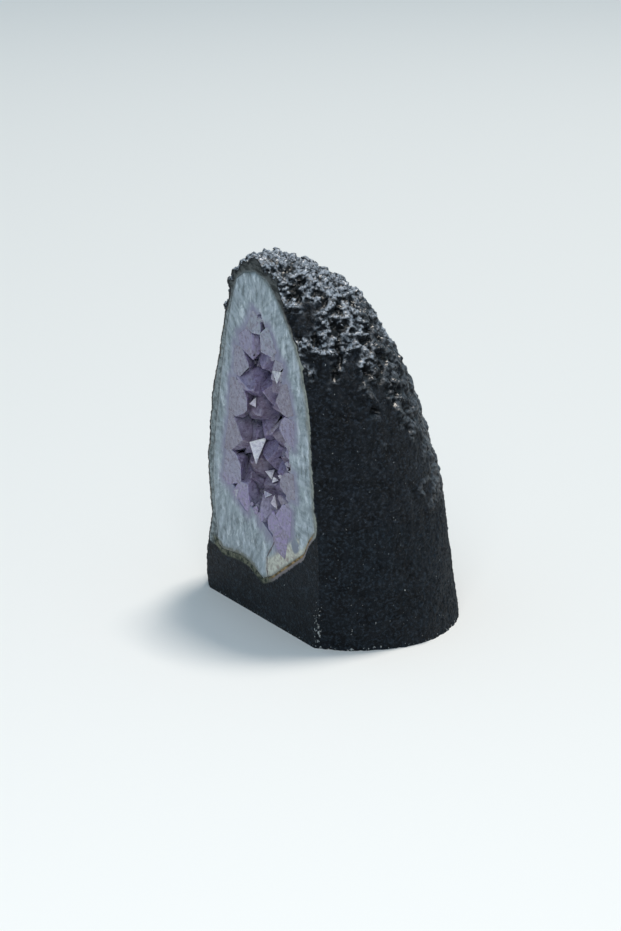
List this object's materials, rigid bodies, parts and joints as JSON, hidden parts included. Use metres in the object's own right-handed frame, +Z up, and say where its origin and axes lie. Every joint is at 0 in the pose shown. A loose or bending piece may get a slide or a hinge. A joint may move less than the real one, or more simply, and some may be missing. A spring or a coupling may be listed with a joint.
{
  "type": "amethyst geode",
  "caption": "Freestanding cathedral geode: a hollow rock with a pale quartz lining and amethyst points, sawn flat in front, its lower end set in a black cement foot.",
  "frame": {"origin": "middle of the bounding box, on the flat underside of the cement foot", "axes": "+Z up, -Y out of the sawn and polished face, +X to the right of someone looking at that face"},
  "size_m": [0.1908, 0.1348, 0.2388],
  "materials": {
    "painted_rock": "black paint on knobbly rock, half gloss",
    "painted_cement": "black paint on cast cement, matt",
    "pale_quartz": "sawn and polished, milky blue-grey",
    "amethyst": "clear natural crystal faces, greyed violet"
  },
  "bodies": {
    "root": {"cement_foot": "painted_cement", "rock_shell": "painted_rock", "quartz_lining": "pale_quartz", "amethyst_point_01": "amethyst", "amethyst_point_02": "amethyst", "amethyst_point_03": "amethyst", "amethyst_point_04": "amethyst", "amethyst_point_05": "amethyst", "amethyst_point_06": "amethyst", "amethyst_point_07": "amethyst", "amethyst_point_08": "amethyst", "amethyst_point_09": "amethyst", "amethyst_point_10": "amethyst", "amethyst_point_11": "amethyst", "amethyst_point_12": "amethyst", "amethyst_point_13": "amethyst", "amethyst_point_14": "amethyst", "amethyst_point_15": "amethyst", "amethyst_point_16": "amethyst", "amethyst_point_17": "amethyst", "amethyst_point_18": "amethyst", "amethyst_point_19": "amethyst", "amethyst_point_20": "amethyst", "amethyst_point_21": "amethyst", "amethyst_point_22": "amethyst", "amethyst_point_23": "amethyst", "amethyst_point_24": "amethyst", "amethyst_point_25": "amethyst", "amethyst_point_26": "amethyst", "amethyst_point_27": "amethyst", "amethyst_point_28": "amethyst", "amethyst_point_29": "amethyst", "amethyst_point_30": "amethyst", "amethyst_point_31": "amethyst", "amethyst_point_32": "amethyst", "amethyst_point_33": "amethyst", "amethyst_point_34": "amethyst", "amethyst_point_35": "amethyst", "amethyst_point_36": "amethyst", "amethyst_point_37": "amethyst", "amethyst_point_38": "amethyst"}
  },
  "joints": []
}
